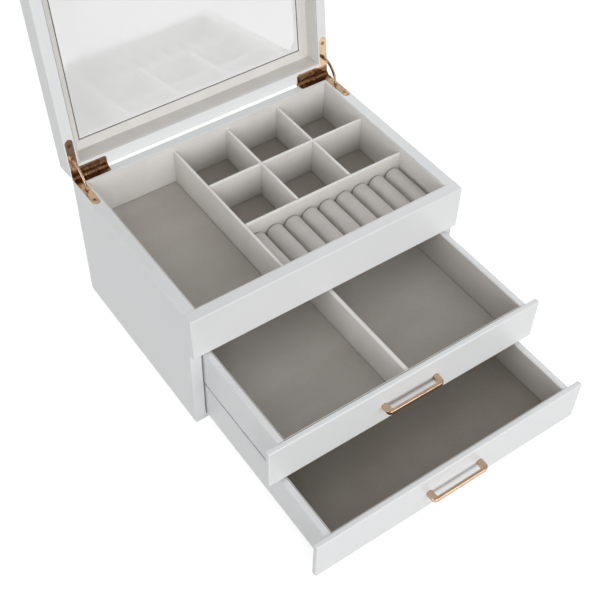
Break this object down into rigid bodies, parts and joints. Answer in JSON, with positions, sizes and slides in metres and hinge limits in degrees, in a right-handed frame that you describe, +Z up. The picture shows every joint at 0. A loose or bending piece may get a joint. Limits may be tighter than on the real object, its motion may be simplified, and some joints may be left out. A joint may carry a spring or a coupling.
{
  "type": "jewellery chest",
  "caption": "White lidded jewellery chest with a lined tray, ring rolls, a mirror in the lid and two drawers below.",
  "frame": {"origin": "on the underside of the base felt, midway between the case's left and right sides and midway between the front face of the front rail and the rear face of the case", "axes": "+Z up, -Y towards the front where the drawers pull out, +X to the right as seen from the front"},
  "size_m": [0.26, 0.4036, 0.3162],
  "materials": {
    "white_lacquer": "satin white lacquer on fibreboard with softened edges",
    "lining_velvet": "short warm grey velvet on card",
    "divider_velvet": "short warm grey velvet wrapped on thin board",
    "roll_velvet": "warm grey velvet over foam",
    "base_felt": "dense pressed felt",
    "rose_gold": "polished rose gold plating",
    "zinc_screws": "zinc plated steel",
    "mirror_glass": "silvered glass"
  },
  "bodies": {
    "case": {"case_side_left": "white_lacquer", "case_side_right": "white_lacquer", "case_rear": "white_lacquer", "case_front_rail": "white_lacquer", "tray_deck": "white_lacquer", "drawer_shelf": "white_lacquer", "case_base": "white_lacquer", "base_felt": "base_felt", "tray_pad": "lining_velvet", "tray_lining_left": "lining_velvet", "tray_lining_right": "lining_velvet", "tray_lining_front": "lining_velvet", "tray_lining_rear": "lining_velvet", "divider_long": "divider_velvet", "divider_cross_rear": "divider_velvet", "divider_cross_front": "divider_velvet", "divider_short_left": "divider_velvet", "divider_short_right": "divider_velvet", "ring_rolls": "roll_velvet", "hinge_leaf_case_left": "rose_gold", "hinge_leaf_case_right": "rose_gold", "hinge_pins": "rose_gold", "hinge_screws_case": "rose_gold"},
    "stay_left": {"hinge_stay_left": "rose_gold"},
    "stay_right": {"hinge_stay_right": "rose_gold"},
    "lid": {"lid_panel": "white_lacquer", "lid_rail_front": "white_lacquer", "lid_rail_rear": "white_lacquer", "lid_rail_left": "white_lacquer", "lid_rail_right": "white_lacquer", "mirror_glass": "mirror_glass", "mirror_border": "divider_velvet", "lid_lining": "lining_velvet", "hinge_leaf_lid_left": "rose_gold", "hinge_leaf_lid_right": "rose_gold", "hinge_screws_lid": "rose_gold"},
    "drawer_upper": {"drawer_upper_front": "white_lacquer", "drawer_upper_side_left": "white_lacquer", "drawer_upper_side_right": "white_lacquer", "drawer_upper_back": "white_lacquer", "drawer_upper_bottom": "white_lacquer", "drawer_upper_pad": "lining_velvet", "drawer_upper_lining": "lining_velvet", "drawer_upper_divider": "divider_velvet", "drawer_upper_pull": "rose_gold", "drawer_upper_screws": "zinc_screws"},
    "drawer_lower": {"drawer_lower_front": "white_lacquer", "drawer_lower_side_left": "white_lacquer", "drawer_lower_side_right": "white_lacquer", "drawer_lower_back": "white_lacquer", "drawer_lower_bottom": "white_lacquer", "drawer_lower_pad": "lining_velvet", "drawer_lower_lining": "lining_velvet", "drawer_lower_pull": "rose_gold", "drawer_lower_screws": "zinc_screws"}
  },
  "joints": [
    {"name": "lid_hinge", "type": "hinge", "parent": "case", "child": "lid", "pos_m": [0, 0.0941, 0.13055], "axis": [1, 0, 0], "range_deg": [0, 97]},
    {"name": "stay_left_swing", "type": "hinge", "parent": "case", "child": "stay_left", "pos_m": [-0.1255, 0.0941, 0.13055], "axis": [1, 0, 0], "range_deg": [0, 48.5]},
    {"name": "stay_right_swing", "type": "hinge", "parent": "case", "child": "stay_right", "pos_m": [0.1255, 0.0941, 0.13055], "axis": [1, 0, 0], "range_deg": [0, 48.5]},
    {"name": "drawer_upper_slide", "type": "slide", "parent": "case", "child": "drawer_upper", "axis": [0, -1, 0], "range_m": [-0.1026, 0.0604]},
    {"name": "drawer_lower_slide", "type": "slide", "parent": "case", "child": "drawer_lower", "axis": [0, -1, 0], "range_m": [-0.163, 0]}
  ],
  "couplings": [
    {"joint": "stay_left_swing", "follows": "lid_hinge", "ratio": 0.5},
    {"joint": "stay_right_swing", "follows": "lid_hinge", "ratio": 0.5}
  ]
}
